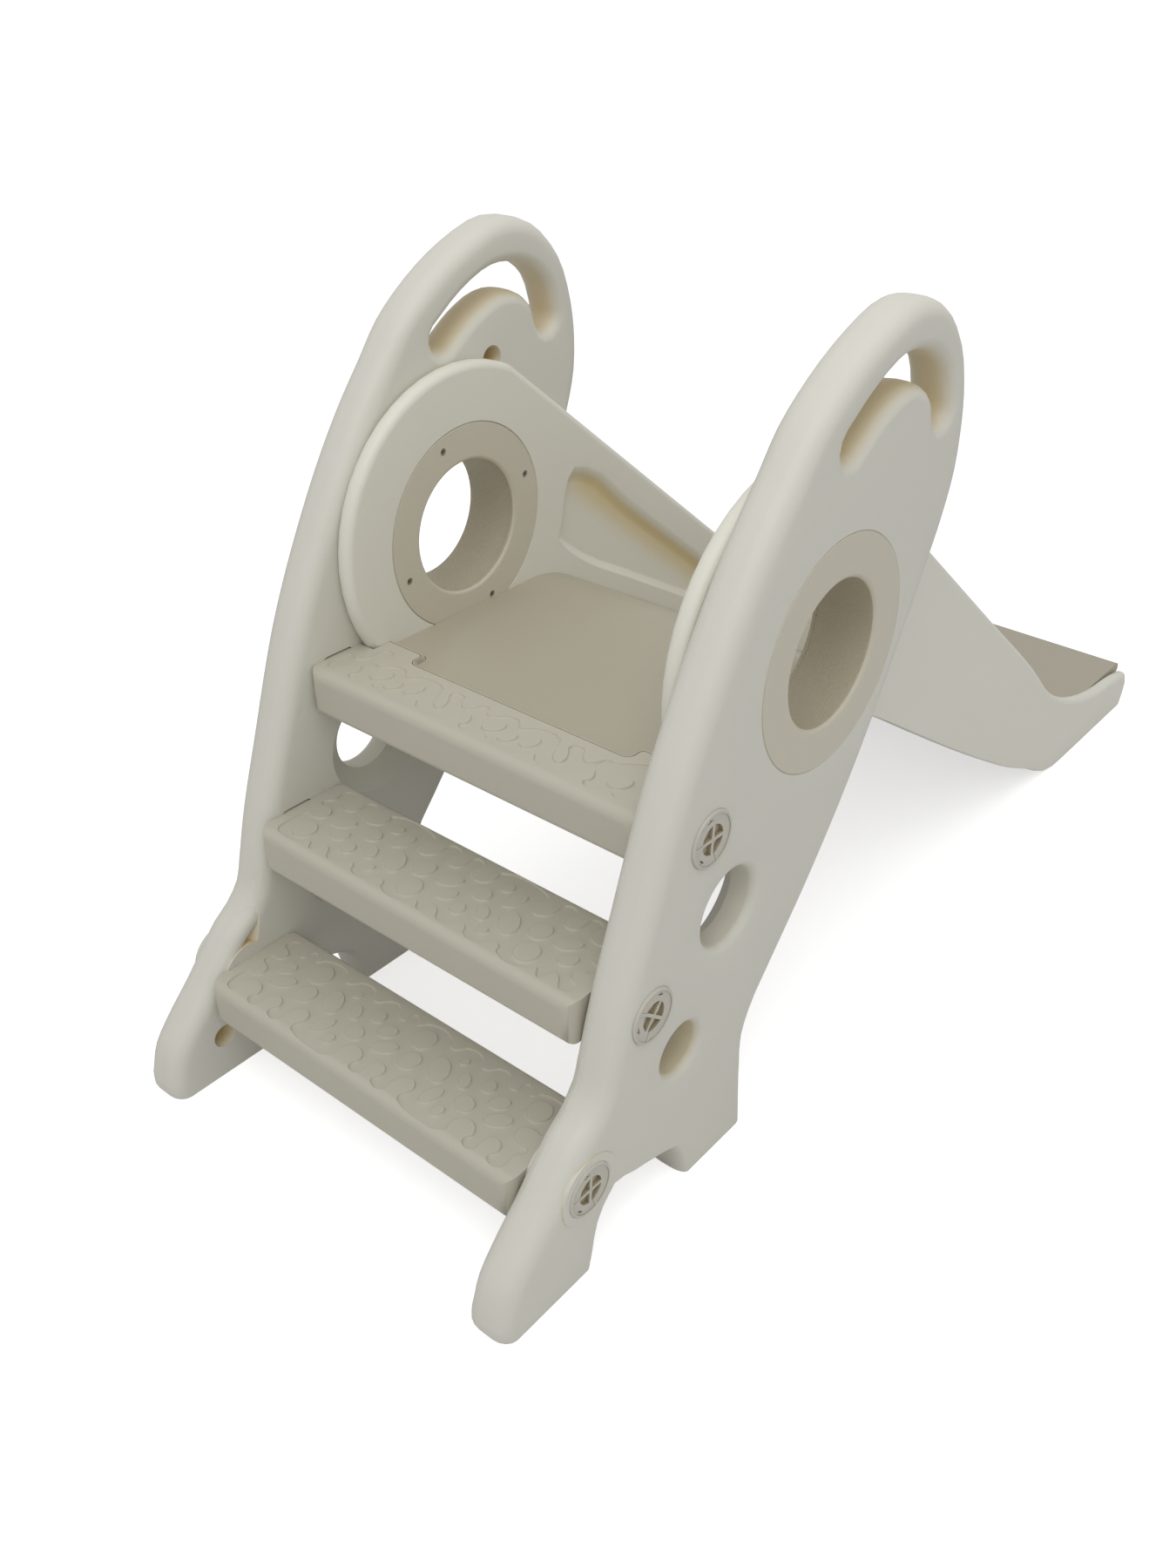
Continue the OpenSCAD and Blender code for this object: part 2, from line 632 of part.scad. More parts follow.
module screw(head_h, l) {
    difference() {
        union() {
            translate([0, seam, 0]) peg(screw_head_r, head_h - seam);
            peg(screw_r - seam / 2, head_h + l);
        }
        cube([1.2, 3, 1.2 * screw_head_r], center = true);
        cube([1.2 * screw_head_r, 3, 1.2], center = true);
    }
}
module hub_screws(side) {
    color(zinc) place(side) translate([0, inner_face, 0]) at_screws() screw(screw_head_h, screw_l);
}

// Bed: a flat deck, a crest, the slope, a run-out and a flat exit
function arc_pts(c, r, a0, a1, n) = [for (k = [0:n]) let (a = a0 + (a1 - a0) * k / n) c + r * [cos(a), sin(a)]];
run_len = runout_r * sin(slide_angle);
run_fall = runout_r * (1 - cos(slide_angle));
crest_end = [crest_x + crest_r * sin(slide_angle), -deck_drop - crest_r * (1 - cos(slide_angle))];
slope_fall = crest_end[1] - (floor_z + exit_h) - run_fall;
slope_end = crest_end + slope_fall * [1 / tan(slide_angle), -1];
runout_c = slope_end + runout_r * [sin(slide_angle), cos(slide_angle)];
function slope_at(x) =
    x < crest_end[0] || x > runout_c[0] ? 0
    : x < slope_end[0] ? slide_angle
    : asin((runout_c[0] - x) / runout_r);
function bed_z(x) =
    x < crest_end[0] ? -deck_drop
    : x < slope_end[0] ? crest_end[1] - (x - crest_end[0]) * tan(slide_angle)
    : x > runout_c[0] ? floor_z + exit_h
    : runout_c[1] - sqrt(runout_r ^ 2 - (x - runout_c[0]) ^ 2);

// Rail: a round ear, a straight top edge that leaves it, and a sole where it lies on the floor
rail_top_slope = 38;
rail_end_h = exit_h - 3;
function on_ear(a) = ear_r * [cos(a), sin(a)];
// The straight top edge lies a little inside the ear's tangent and leaves the ear at this angle
ear_leave = 64;
ear_top = on_ear(ear_leave);
function top_line(d) = ear_top + d * [cos(rail_top_slope), -sin(rail_top_slope)];
function rp(p, r) = [p[0], p[1], r];
ear_step = 7.5;
ear_from = -52;
sole_round = 2;
ear_pts = [for (a = [ear_from:-ear_step:ear_leave + ear_step / 2 - 360]) rp(on_ear(a), rail_round)];
// Point of a rail's lower edge, a given depth under the bed
function under_bed_pt(x, depth) = [x, bed_z(x) - depth, sole_round];
rail_ctrl = [
    concat(rp(ear_top, rail_round), 1), rp(top_line(60), rail_round), rp(top_line(300), rail_round),
    rp(top_line(560), rail_round), rp(top_line(800), rail_round), [chute_reach - 352, floor_z + 160, rail_round],
    [chute_reach - 260, floor_z + 112, rail_round], [chute_reach - 150, floor_z + 79, rail_round],
    [chute_reach - 50, floor_z + rail_end_h, rail_round], [chute_reach - 12, floor_z + rail_end_h - 8, rail_round],
    [chute_reach - 2, floor_z + 40, rail_round], [chute_reach - 10, floor_z, 0, 1],
    [chute_reach - 290, floor_z, 0, 1], [chute_reach - 330, floor_z + 10, sole_round],
    under_bed_pt(770, 61), under_bed_pt(684, 66), under_bed_pt(609, 65), under_bed_pt(485, 60),
    under_bed_pt(335, 50), under_bed_pt(219, 42), under_bed_pt(158, 49)
];
rail_pts = concat(
    run_pts(rail_ctrl, 0, len(rail_ctrl) - 1, 40),
    [rail_ctrl[len(rail_ctrl) - 1]],
    ear_pts
);

// The bed in section
lip_r = bed_t / 2;
// The bed's top surface, set back by d, as far as its rounded lip
function bed_line(d) = concat(
    [[-deck_front, -deck_drop - d]],
    arc_pts([crest_x, -deck_drop - crest_r], crest_r - d, 90, 90 - slide_angle, 10),
    arc_pts(runout_c, runout_r + d, 270 - slide_angle, 270, 12)
);
lip_pts = arc_pts([chute_reach - lip_r, floor_z + exit_h - lip_r], lip_r, 90, -90, 12);
bed_w = 2 * (rail_y - seam);
module bed_body() {
    rotate([90, 0, 0]) translate([0, 0, -bed_w / 2]) linear_extrude(bed_w)
        polygon(concat(bed_line(0), lip_pts, reversed(bed_line(bed_t))));
}

// Lugs under the bed, one row on each rail, with a screw in each
lug_at = [60, 330, 560, 930];
lug_l = 40;
lug_w = 24;
lug_t = 14;
lug_screw_l = 12;
// Puts a piece under the bed at x, square to the slope, with the bed's underside at z = 0
module under_bed(x) {
    translate([x, rail_y, bed_z(x)]) rotate([0, slope_at(x), 0]) translate([0, 0, -bed_t]) children();
}
module lugs() {
    for (x = lug_at) under_bed(x) difference() {
        translate([-lug_l / 2, -lug_w, -lug_t]) cube([lug_l, lug_w + bite, lug_t - seam]);
        translate([0, -lug_w / 2, -lug_t - bite]) cylinder(r = screw_head_r + seam, h = screw_head_h + bite);
        translate([0, -lug_w / 2, -lug_t - bite]) cylinder(r = screw_r + seam, h = lug_t + 2 * bite);
    }
}
module bed_pilots() {
    for (s = [0, 1]) mirror([0, s, 0]) for (x = lug_at) under_bed(x)
        translate([0, -lug_w / 2, -bite]) cylinder(r = screw_r, h = lug_screw_l + bite);
}
// Long recess in a rail's inner face: it follows the ear, the rail's top edge and the bed, and tapers off
cove_start_r = 172;
cove_top_wall = 24;
cove_low_wall = 12;
function cove_ear(a) = [cove_start_r * cos(a), cove_start_r * sin(a), cove_low_wall];
function cove_top(d) = rp(top_line(d) - cove_drop * [sin(rail_top_slope), cos(rail_top_slope)], cove_top_wall);
function cove_low(x) = [x, bed_z(x) + cove_lift, cove_low_wall];
cove_ctrl = [
    cove_ear(-24), cove_ear(-14), cove_ear(-4), [178, 8, 14], [192, 21, 18], cove_top(200), cove_top(320),
    cove_top(460), cove_top(600), cove_top(710), [650, -337, 16], [659, -356, 12], [640, -362, cove_low_wall],
    cove_low(600), cove_low(500), cove_low(400), cove_low(300), cove_low(220), [180, -91, cove_low_wall]
];
module rail(side) {
    color(cream) place(side) difference() {
        union() {
            translate([0, rail_y, 0]) lofted_plate(rail_pts, rings(rail_t, rail_round));
            lugs();
        }
        translate([0, rail_y - bite, 0]) peg(axle_r, rail_t + 2 * bite);
        translate([0, rail_y, 0]) soft_recess(run_pts(cove_ctrl, 0, len(cove_ctrl), 45), cove_d);
        translate([0, rail_y - bite, 0]) peg(inner_flange_r + turn_gap, flange_t + turn_gap + bite);
    }
}
module chute_bed() {
    color(greige) place() difference() {
        intersection() {
            bed_body();
            union() {
                deck_nose(0, bed_w + 2 * bite);
                translate([0, -bed_w / 2 - bite, floor_z]) cube([chute_reach + bite, bed_w + 2 * bite, hub_h]);
            }
        }
        bed_pilots();
    }
}
module bed_screws(side) {
    color(zinc) place(side) for (x = lug_at) under_bed(x) translate([0, -lug_w / 2, -lug_t]) rotate([90, 0, 0])
        screw(screw_head_h, lug_t - screw_head_h + lug_screw_l - bite);
}

// The model is centred on its length: from the ladder's toe to the end of the chute
toe_x = min([for (p = panel_pts) p[0]]);
hub_x = -(toe_x + chute_reach) / 2;

panel(1);  // panel_left
panel(-1);  // panel_right
step(0);  // step_bottom
step(1);  // step_middle
top_step();  // step_top
lock(1, 0);  // lock_left_bottom
lock(1, 1);  // lock_left_middle
lock(1, 2);  // lock_left_top
lock(-1, 0);  // lock_right_bottom
lock(-1, 1);  // lock_right_middle
lock(-1, 2);  // lock_right_top
hub_outer(1);  // hub_outer_left
hub_outer(-1);  // hub_outer_right
hub_inner(1);  // hub_inner_left
hub_inner(-1);  // hub_inner_right
hub_screws(1);  // hub_screws_left
hub_screws(-1);  // hub_screws_right
rail(1);  // rail_left
rail(-1);  // rail_right
chute_bed();
bed_screws(1);  // bed_screws_left
bed_screws(-1);  // bed_screws_right
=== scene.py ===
import math

import bpy
from mathutils import Matrix, Vector


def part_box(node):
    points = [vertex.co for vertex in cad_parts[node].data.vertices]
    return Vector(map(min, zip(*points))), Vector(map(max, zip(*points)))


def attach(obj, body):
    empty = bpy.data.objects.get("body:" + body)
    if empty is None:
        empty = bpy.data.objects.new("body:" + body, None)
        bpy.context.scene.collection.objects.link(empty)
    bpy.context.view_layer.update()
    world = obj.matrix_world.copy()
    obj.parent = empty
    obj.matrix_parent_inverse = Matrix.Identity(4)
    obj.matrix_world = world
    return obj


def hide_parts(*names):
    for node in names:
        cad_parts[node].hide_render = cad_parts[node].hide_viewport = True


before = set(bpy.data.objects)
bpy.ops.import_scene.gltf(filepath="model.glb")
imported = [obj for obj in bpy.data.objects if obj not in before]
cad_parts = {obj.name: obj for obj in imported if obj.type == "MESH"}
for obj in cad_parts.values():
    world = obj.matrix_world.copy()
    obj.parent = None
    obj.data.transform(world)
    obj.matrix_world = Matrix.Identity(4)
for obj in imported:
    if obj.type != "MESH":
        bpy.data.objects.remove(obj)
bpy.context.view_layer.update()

# The side panels. Each one is a single hollow blow moulding in cream polyethylene, with a satin
# skin, a fine moulded grain and well rounded edges. The steps' tenons go into its inner face, and
# the hub sits in its window.
CREAM = (0.675, 0.662, 0.588, 1.0)
# The warm tan that the cream is painted as shade in its hollows and creases
CREAM_PAINTED_SHADE = (0.66, 0.53, 0.29, 1.0)
CREAM_GLOSS = 0.42
CREAM_REACH = 0.07
# The moulded grain: the size of a grain and its depth
GRAIN = (0.0012, 0.00003)
# Flow marks and gloss patches in a metre, and how much the patches change the gloss
FLOW_SCALE = 7.0
PATCH_SCALE = 38.0
PATCH_GLOSS = 0.12
PLASTIC_SHINE = 0.4
# The share of open surroundings where a plastic has its plain colour, and its full painted shade
OPEN_SHARE = 0.88
SHUT_SHARE = 0.30
# Edges sharper than this angle stay crisp
CREASE = 34.0
HUB_AXIS = Vector((-0.333884, 0.0, 0.570))
# Places on a panel, along the slide and up from the hub's axis
SINK_MARK = (-0.256, -0.146)
SINK_MARK_RADIUS = 0.004
SINK_MARK_DEPTH = 0.0005
# The hollow above the bottom step's seat is a leaning bowl, and the seat is round
TOE_HOLLOW = (-0.3715, -0.380)
TOE_HOLLOW_SIZE = (0.0245, 0.028, 0.060)
TOE_HOLLOW_LEAN = 9.0
TOE_HOLLOW_DEPTH = 0.0165
SEAT = (-0.370, -0.446)
SEAT_RADIUS = 0.0380
SEAT_DEPTH = 0.010
SEAT_REACH = 0.03
# The panel's front edge beside the hollow, from the top down, and the two round ribs that carry it
# past the hollow: how far each one's middle is in from the edge, how deep it lies, and its radius
TOE_FRONT = (
    (-0.326, -0.276), (-0.338, -0.322), (-0.346, -0.350), (-0.362, -0.370), (-0.384, -0.387),
    (-0.402, -0.407), (-0.431, -0.441), (-0.470, -0.490),
)
TOE_RIBS = ((0.0149, 0.0139, 0.0119), (0.0132, 0.0182, 0.01295))
# The fine groove where the hub's outer ring meets the panel: its radius about the axis, and its own
OUTER_RING = 0.1253
GROOVE = 0.0010
# Corners closer than this are one
SAME_PLACE = 0.00001
# Two faces that would lie in one plane are kept at least this far apart
HAIR = 0.00002
# Both sides of a climber, and which way each one lies from the slide's middle
SIDES = (("left", 1), ("right", -1))


def socket(group, name, way, kind, value=None):
    made = group.interface.new_socket(name=name, in_out=way, socket_type="NodeSocket" + kind)
    if value is not None:
        made.default_value = value


def moulded_skin():
    """Grain, flow marks and uneven gloss of a plastic moulding, read in Object coordinates."""
    group = bpy.data.node_groups.new("moulded skin", "ShaderNodeTree")
    socket(group, "Colour", "INPUT", "Color", (0.7, 0.7, 0.65, 1.0))
    socket(group, "Flow marks", "INPUT", "Float", 0.03)
    socket(group, "Gloss", "INPUT", "Float", 0.5)
    socket(group, "Grain size", "INPUT", "Float", GRAIN[0])
    socket(group, "Grain depth", "INPUT", "Float", GRAIN[1])
    socket(group, "Colour", "OUTPUT", "Color")
    socket(group, "Roughness", "OUTPUT", "Float")
    socket(group, "Normal", "OUTPUT", "Vector")
    nodes, links = group.nodes, group.links
    given, out = nodes.new("NodeGroupInput"), nodes.new("NodeGroupOutput")
    where = nodes.new("ShaderNodeTexCoord").outputs["Object"]

    def noise(detail, scale=None):
        node = nodes.new("ShaderNodeTexNoise")
        node.inputs["Detail"].default_value = detail
        if scale is not None:
            node.inputs["Scale"].default_value = scale
        links.new(where, node.inputs["Vector"])
        return node

    flow = noise(3.0, FLOW_SCALE)
    swing = nodes.new("ShaderNodeMath")
    swing.operation = "SUBTRACT"
    swing.inputs[1].default_value = 0.5
    links.new(flow.outputs["Fac"], swing.inputs[0])
    lift = nodes.new("ShaderNodeMath")
    lift.operation = "MULTIPLY_ADD"
    lift.inputs[2].default_value = 1.0
    links.new(swing.outputs[0], lift.inputs[0])
    links.new(given.outputs["Flow marks"], lift.inputs[1])
    tint = nodes.new("ShaderNodeVectorMath")
    tint.operation = "SCALE"
    links.new(given.outputs["Colour"], tint.inputs[0])
    links.new(lift.outputs[0], tint.inputs["Scale"])
    links.new(tint.outputs[0], out.inputs["Colour"])

    patches = noise(2.0, PATCH_SCALE)
    sheen = nodes.new("ShaderNodeMath")
    sheen.operation = "MULTIPLY_ADD"
    sheen.inputs[1].default_value = PATCH_GLOSS
    links.new(patches.outputs["Fac"], sheen.inputs[0])
    links.new(given.outputs["Gloss"], sheen.inputs[2])
    links.new(sheen.outputs[0], out.inputs["Roughness"])

    fine = nodes.new("ShaderNodeMath")
    fine.operation = "DIVIDE"
    fine.inputs[0].default_value = 1.0
    links.new(given.outputs["Grain size"], fine.inputs[1])
    grain = noise(2.0)
    links.new(fine.outputs[0], grain.inputs["Scale"])
    bump = nodes.new("ShaderNodeBump")
    links.new(given.outputs["Grain depth"], bump.inputs["Distance"])
    links.new(grain.outputs["Fac"], bump.inputs["Height"])
    links.new(bump.outputs["Normal"], out.inputs["Normal"])
    return group


skin = moulded_skin()


def moulded_plastic(name, colour, deep, gloss, reach, grain=GRAIN[0], depth=GRAIN[1]):
    """A plastic with painted shade: a deeper, warmer colour where other walls are within reach."""
    made = bpy.data.materials.new(name)
    made.use_nodes = True
    nodes, links = made.node_tree.nodes, made.node_tree.links
    shader = nodes["Principled BSDF"]
    shader.inputs["Specular IOR Level"].default_value = PLASTIC_SHINE
    open_air = nodes.new("ShaderNodeAmbientOcclusion")
    open_air.samples = 6
    open_air.only_local = True
    open_air.inputs["Distance"].default_value = reach
    # Painted shade: the less open the surroundings, the further the colour goes to the deep one
    painted_shade_share = nodes.new("ShaderNodeMapRange")
    painted_shade_share.inputs["From Min"].default_value = OPEN_SHARE
    painted_shade_share.inputs["From Max"].default_value = SHUT_SHARE
    links.new(open_air.outputs["AO"], painted_shade_share.inputs["Value"])
    shade = nodes.new("ShaderNodeMix")
    shade.data_type = "RGBA"
    shade.inputs["A"].default_value = colour
    shade.inputs["B"].default_value = deep
    links.new(painted_shade_share.outputs["Result"], shade.inputs["Factor"])
    face = nodes.new("ShaderNodeGroup")
    face.node_tree = skin
    face.inputs["Gloss"].default_value = gloss
    face.inputs["Grain size"].default_value = grain
    face.inputs["Grain depth"].default_value = depth
    links.new(shade.outputs["Result"], face.inputs["Colour"])
    links.new(face.outputs["Colour"], shader.inputs["Base Color"])
    links.new(face.outputs["Roughness"], shader.inputs["Roughness"])
    links.new(face.outputs["Normal"], shader.inputs["Normal"])
    return made


cream = moulded_plastic("cream polyethylene", CREAM, CREAM_PAINTED_SHADE, CREAM_GLOSS, CREAM_REACH)


def alone(piece):
    """Selects one piece and makes it the active one."""
    bpy.ops.object.select_all(action="DESELECT")
    piece.select_set(True)
    bpy.context.view_layer.objects.active = piece


def merged(piece, outwards=False):
    """Joins a mesh's loose triangles, and turns its faces outwards where that is asked."""
    alone(piece)
    bpy.ops.object.mode_set(mode="EDIT")
    bpy.ops.mesh.select_all(action="SELECT")
    bpy.ops.mesh.remove_doubles(threshold=SAME_PLACE)
    if outwards:
        bpy.ops.mesh.normals_make_consistent(inside=False)
    bpy.ops.object.mode_set(mode="OBJECT")


def from_cad(node, name):
    """A copy of a node's mesh, merged, with its stored normals dropped."""
    piece = bpy.data.objects.new(name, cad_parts[node].data.copy())
    bpy.context.scene.collection.objects.link(piece)
    merged(piece)
    bpy.ops.mesh.customdata_custom_splitnormals_clear()
    return piece


def from_drawing(drawing, height=0.0, stretch=1.0):
    """Makes a drawn curve a closed mesh at a height, and stretches it upwards."""
    tool = bpy.data.objects.new(drawing.name, drawing)
    tool.location = (0.0, 0.0, height)
    tool.scale = (1.0, 1.0, stretch)
    bpy.context.scene.collection.objects.link(tool)
    alone(tool)
    bpy.ops.object.convert(target="MESH")
    tool = bpy.context.object
    bpy.ops.object.transform_apply(location=False, rotation=False, scale=True)
    merged(tool, outwards=True)
    return tool


def carve(piece, tool, way="DIFFERENCE"):
    """Cuts a tool out of a piece, or joins it on, and throws the tool away."""
    alone(piece)
    cut = piece.modifiers.new("cut", "BOOLEAN")
    cut.operation = way
    cut.solver = "EXACT"
    cut.object = tool
    bpy.ops.object.modifier_apply(modifier=cut.name)
    bpy.data.objects.remove(tool)


def smoothed(piece, crease, material):
    """Gives a piece its material, and shades it smooth up to an angle, flat faces kept flat."""
    piece.data.materials.clear()
    piece.data.materials.append(material)
    alone(piece)
    bpy.ops.object.shade_smooth_by_angle(angle=math.radians(crease))
    even = piece.modifiers.new("even", "WEIGHTED_NORMAL")
    even.keep_sharp = True
    bpy.ops.object.modifier_apply(modifier=even.name)


def round_tool(place, radius, near, far, vertices=48):
    """A round bar across the slide, at a place measured from the hub, to cut with or to join on."""
    bpy.ops.object.select_all(action="DESELECT")
    bpy.ops.mesh.primitive_cylinder_add(
        vertices=vertices, radius=radius, depth=abs(far - near),
        location=(HUB_AXIS.x + place[0], (near + far) / 2, HUB_AXIS.z + place[1]),
        rotation=(math.pi / 2, 0.0, 0.0),
    )
    return bpy.context.object


def ring_groove(piece, radius, across):
    """A fine round groove about the hub's axis, where a ring meets what it sits in."""
    bpy.ops.object.select_all(action="DESELECT")
    bpy.ops.mesh.primitive_torus_add(
        major_radius=radius, minor_radius=GROOVE, major_segments=120, minor_segments=8,
        location=(HUB_AXIS.x, across, HUB_AXIS.z), rotation=(math.pi / 2, 0.0, 0.0),
    )
    carve(piece, bpy.context.object)


def toe_rib(face, sign, inwards, depth, radius):
    """A round bar that follows the panel's front edge past the hollow."""
    drawing = bpy.data.curves.new("toe rib", "CURVE")
    drawing.dimensions = "3D"
    drawing.bevel_depth = radius
    drawing.bevel_resolution = 8
    drawing.resolution_u = 6
    drawing.use_fill_caps = True
    line = drawing.splines.new("BEZIER")
    line.bezier_points.add(len(TOE_FRONT) - 3)
    for k, knot in enumerate(line.bezier_points):
        before, here, after = (Vector(TOE_FRONT[k + i]) for i in range(3))
        way = (after - before).normalized()
        spot = here + inwards * Vector((-way[1], way[0]))
        knot.co = (HUB_AXIS.x + spot[0], face + sign * depth, HUB_AXIS.z + spot[1])
        knot.handle_left_type = knot.handle_right_type = "AUTO"
    return from_drawing(drawing)


def hollow_toe(panel, face, sign):
    """Rounds out the hollow in the toe, and leaves the step's round seat standing in it."""
    bpy.ops.object.select_all(action="DESELECT")
    bpy.ops.mesh.primitive_uv_sphere_add(
        segments=64, ring_count=32, radius=1.0,
        location=(
            HUB_AXIS.x + TOE_HOLLOW[0], face + sign * (TOE_HOLLOW_DEPTH - TOE_HOLLOW_SIZE[1]),
            HUB_AXIS.z + TOE_HOLLOW[1],
        ),
        rotation=(0.0, math.radians(TOE_HOLLOW_LEAN), 0.0), scale=TOE_HOLLOW_SIZE,
    )
    hollow = bpy.context.object
    spared = round_tool(SEAT, SEAT_RADIUS, face - sign * SEAT_REACH, face + sign * SEAT_REACH, 96)
    carve(hollow, spared)
    carve(panel, hollow)
    for inwards, depth, radius in TOE_RIBS:
        carve(panel, toe_rib(face, sign, inwards, depth, radius), "UNION")
    seat = round_tool(SEAT, SEAT_RADIUS, face + sign * HAIR, face + sign * SEAT_DEPTH, 96)
    carve(panel, seat, "UNION")


for side, sign in SIDES:
    panel = from_cad("panel_" + side, "side_panel_" + side)
    inner_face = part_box("panel_" + side)[0 if sign > 0 else 1][1]
    mark = round_tool(
        SINK_MARK, SINK_MARK_RADIUS, inner_face - SINK_MARK_DEPTH, inner_face + SINK_MARK_DEPTH, 24,
    )
    carve(panel, mark)
    hollow_toe(panel, inner_face, sign)
    ring_groove(panel, OUTER_RING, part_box("hub_outer_" + side)[1 if sign > 0 else 0][1])
    smoothed(panel, CREASE, cream)
    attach(panel, "ladder")
    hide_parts("panel_" + side)

# The steps. Each is a hollow moulding in greige polyethylene with a tenon at both ends. Its tread
# has a sunk field with raised pebbles and a wavy edge, which give grip. The middle step is the
# bottom one turned round.
GREIGE = (0.51, 0.485, 0.40, 1.0)
# The darker greige that the steps are painted as shade in their hollows and creases
GREIGE_PAINTED_SHADE = (0.46, 0.41, 0.30, 1.0)
GREIGE_GLOSS = 0.40
GREIGE_REACH = 0.05
STEP_CREASE = 50.0
FIELD_SUNK = 0.0022
PATTERN_REPEAT = 167.0
REPEATS = 3
STEP_DEPTH = 129.0
# The field, in millimetres across the slide from its middle, then back from the step's front.
# One repeat of its front edge, with three knobs that reach into the field
FRONT_EDGE = (
    (203, 13), (205, 21), (204, 30), (198.5, 38), (190, 41), (180.5, 38.5), (174.5, 32),
    (172.5, 24), (176, 17.5), (174.5, 13), (163.5, 12.5), (162.5, 22), (161.5, 32), (157, 38),
    (150, 40), (143, 37), (138.5, 30.5), (138.5, 22.5), (142, 16.5), (140, 12.5), (126, 12.5),
    (125.5, 22), (124, 33), (118, 41), (110, 44), (103, 41.5), (98, 34.5), (98, 25), (102, 16.5),
    (99.5, 12),
)
# One repeat of its back edge, which dips into the field four times
BACK_EDGE = (
    (204, 113), (196, 103), (190, 98.5), (184, 98.5), (181, 102), (180, 110), (177.5, 114),
    (174, 112), (170, 106), (165.5, 103.5), (161, 107), (157, 112.5), (121.5, 112.5), (118, 105),
    (111.5, 101), (105, 103), (100, 108.5), (97, 112.5), (75.5, 112.5), (71, 105), (66, 101),
    (61, 101), (55.5, 104.5), (50, 111), (47.5, 112.5),
)
# One repeat of the pebbles: middle, half length, half width, and its turn from straight across
PEBBLES = (
    (143.5, 93.5, 17.0, 15.5, 80), (183, 76.5, 13.0, 10.5, 135), (168, 57.5, 17.0, 10.5, 145),
    (132.5, 60, 15.5, 13.5, 100), (98.5, 71, 20.5, 13.5, 56), (86, 97, 7.5, 6.2, 110),
    (66.5, 76, 13.5, 8.6, 58), (79, 39, 16.5, 9.8, 106), (58.5, 27.5, 9.4, 8.2, 110),
    (41, 87, 11.0, 9.8, 70), (43.5, 52.5, 13.8, 12.0, 20),
)
# The field's end at a climber's left, from back to front, where two pebbles run into the rim
LEFT_END = (
    (207, 114), (211.5, 113), (213.5, 110), (213.5, 101.5), (208, 100), (202, 96.5), (198.5, 91),
    (199, 85), (203, 80), (208.5, 78), (213, 78.5), (214, 76), (214, 69.5), (207, 66.5),
    (200.5, 63.5), (196.5, 56), (197, 50), (201, 45.5), (207, 42.5), (213, 42), (214.5, 39),
    (214.5, 20), (212, 15), (208, 13),
)
# The other end, from front to back
RIGHT_END = (
    (-208, 13), (-210, 20), (-208, 29), (-211, 36), (-214.5, 40), (-214.5, 45), (-207, 44.5),
    (-199, 45.5), (-192, 50), (-188.5, 58), (-190, 65), (-195, 70), (-201, 72.5), (-208, 72.5),
    (-213.5, 72), (-214.5, 75), (-214.5, 107), (-212, 112), (-208, 114),
)


def repeated(points, low, high):
    """The pattern's points, repeated from left to right, without those past either limit."""
    return tuple(
        (p[0] - PATTERN_REPEAT * k,) + p[1:]
        for k in range(REPEATS) for p in points if low < p[0] - PATTERN_REPEAT * k < high
    )


def closed_line(drawing, points):
    """Adds one closed smooth curve to a drawing."""
    line = drawing.splines.new("BEZIER")
    line.bezier_points.add(len(points) - 1)
    for knot, (x, y) in zip(line.bezier_points, points):
        knot.co = (x, y, 0.0)
        knot.handle_left_type = knot.handle_right_type = "AUTO"
    line.use_cyclic_u = True


def pebble_outline(across, back, long, wide, turn):
    """Eight points round one pebble."""
    c, s = math.cos(math.radians(turn)), math.sin(math.radians(turn))
    ring = []
    for k in range(8):
        u, v = long * math.cos(k * math.pi / 4), wide * math.sin(k * math.pi / 4)
        ring.append((across + u * c - v * s, back + u * s + v * c))
    return ring


def sink_field(step, edge, pebbles, front, top, turned=False):
    """Cuts the field into a tread, and leaves the pebbles standing."""
    def placed(points):
        if turned:
            points = [(-y, STEP_DEPTH - d) for y, d in points]
        return [(front + d / 1000.0, y / 1000.0) for y, d in points]

    drawing = bpy.data.curves.new("tread field", "CURVE")
    drawing.dimensions = "2D"
    drawing.fill_mode = "BOTH"
    drawing.bevel_depth = FIELD_SUNK
    drawing.bevel_resolution = 1
    drawing.resolution_u = 4
    closed_line(drawing, placed(edge))
    for pebble in pebbles:
        closed_line(drawing, placed(pebble_outline(*pebble)))
    carve(step, from_drawing(drawing, top + 2 * HAIR))


FULL_EDGE = (
    LEFT_END + repeated(FRONT_EDGE, low=-206, high=207)
    + RIGHT_END + repeated(BACK_EDGE, low=-206, high=206)[::-1]
)
FULL_PEBBLES = repeated(PEBBLES, low=-196, high=190)
# The top step's field is narrow, and runs back beside the deck's tongue at both ends
TOP_FRONT_EDGE = (
    (212, 21), (208, 30), (204, 39), (198, 45), (192, 46.5), (185.5, 41), (182, 34), (182, 27),
    (185, 21.5), (166, 20.5), (160, 24), (153, 25.5), (146, 21), (104, 20.5), (100, 26), (94, 31.5),
    (88, 30.5), (84, 25.5), (80, 20.5),
)
TOP_BACK_EDGE = (
    (192, 65.5), (186, 65), (183, 59), (178, 53.5), (171, 55), (163, 62), (158, 66), (145, 66),
    (141, 61), (136, 56.5), (130, 57), (124, 61.5), (119, 66), (89, 66), (84, 58), (77, 42),
    (69, 32), (60, 30.5), (56.5, 37), (62, 52), (69, 63), (66, 66.5), (57, 66), (53, 60), (47, 52),
    (41, 48.5), (34, 51), (29, 58),
)
TOP_PEBBLES = (
    (157.5, 43.5, 15.0, 12.5, 120), (132, 36, 12.5, 10.0, 110), (107, 43, 14.0, 9.5, 105),
)
